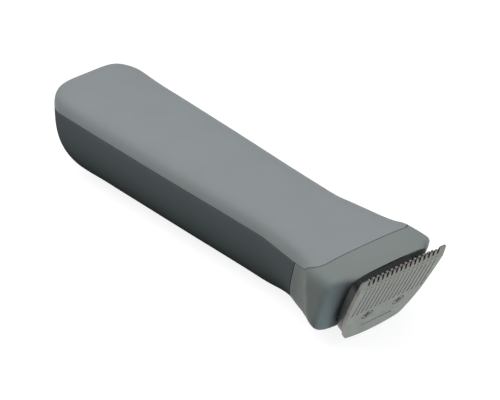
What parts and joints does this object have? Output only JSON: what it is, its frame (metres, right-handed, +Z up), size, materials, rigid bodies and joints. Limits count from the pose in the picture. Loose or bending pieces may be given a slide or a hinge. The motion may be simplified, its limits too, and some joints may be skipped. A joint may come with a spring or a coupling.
{
  "type": "body groomer",
  "caption": "Cordless body groomer: slim two-tone handle, flared head and a clip-on comb blade with an oscillating cutter.",
  "frame": {"origin": "on the surface that the handle rests on, under the middle of the object's length and width", "axes": "+X from the tail to the blade, +Z up through the light cover, Y across"},
  "size_m": [0.1626, 0.042, 0.0323],
  "materials": {
    "cover_grey": "fine satin moulded plastic",
    "shell_grey": "fine satin moulded plastic",
    "head_grey": "fine satin moulded plastic",
    "comb_steel": "ground satin steel",
    "cutter_steel": "ground steel",
    "base_black": "semi-gloss black plastic",
    "carrier_plastic": "acetal",
    "spring_steel": "drawn wire",
    "screw_steel": "plated",
    "rubber_black": "moulded",
    "inner_plastic": "moulded",
    "motor_steel": "zinc plated",
    "bearing_brass": "sintered",
    "cell_wrap": "shrink wrap",
    "tab_nickel": "nickel strip",
    "board_green": "solder mask",
    "chip_black": "moulded",
    "light_clear": "clear plastic",
    "button_grey": "soft satin",
    "contact_gold": "plated"
  },
  "bodies": {
    "handle": {"top_cover": "cover_grey", "lower_shell": "shell_grey", "head_housing": "head_grey", "seam_seal": "rubber_black", "motor_can": "motor_steel", "motor_end_cap": "inner_plastic", "motor_terminals": "bearing_brass", "motor_bearing": "bearing_brass", "motor_cradle": "inner_plastic", "bulkhead": "inner_plastic", "drive_seal": "rubber_black", "motor_screws": "screw_steel", "bulkhead_screws": "screw_steel", "battery_cell_left": "cell_wrap", "battery_cell_right": "cell_wrap", "battery_tray": "inner_plastic", "battery_tabs": "tab_nickel", "circuit_board": "board_green", "board_screws": "screw_steel", "controller_chip": "chip_black", "tact_switch": "chip_black", "status_led": "light_clear", "light_guide": "light_clear", "button_seal": "rubber_black", "contact_carrier": "inner_plastic", "charge_contacts": "contact_gold"},
    "rotor": {"motor_shaft": "screw_steel", "eccentric_cam": "carrier_plastic", "drive_pin": "screw_steel"},
    "blade_cartridge": {"comb_plate": "comb_steel", "comb_screws": "screw_steel", "blade_base": "base_black", "latch_clip": "spring_steel", "tension_spring": "spring_steel"},
    "cutter": {"cutter_blade": "cutter_steel", "cutter_carrier": "carrier_plastic"},
    "button": {"power_button": "button_grey", "switch_plunger": "carrier_plastic"}
  },
  "joints": [
    {"name": "rotor_spin", "type": "hinge", "parent": "handle", "child": "rotor", "pos_m": [0.045, 0, 0.0165], "axis": [1, 0, 0], "continuous": true},
    {"name": "cartridge_slide", "type": "slide", "parent": "handle", "child": "blade_cartridge", "axis": [0.8721, 0, -0.4894], "range_m": [0, 0.014]},
    {"name": "cutter_slide", "type": "slide", "parent": "blade_cartridge", "child": "cutter", "axis": [0, 1, 0], "range_m": [-0.001, 0.001]},
    {"name": "button_press", "type": "slide", "parent": "handle", "child": "button", "axis": [0, 0, 1], "range_m": [0, 0.0007], "stiffness_N_per_m": 1500, "springref_m": -0.0005}
  ]
}
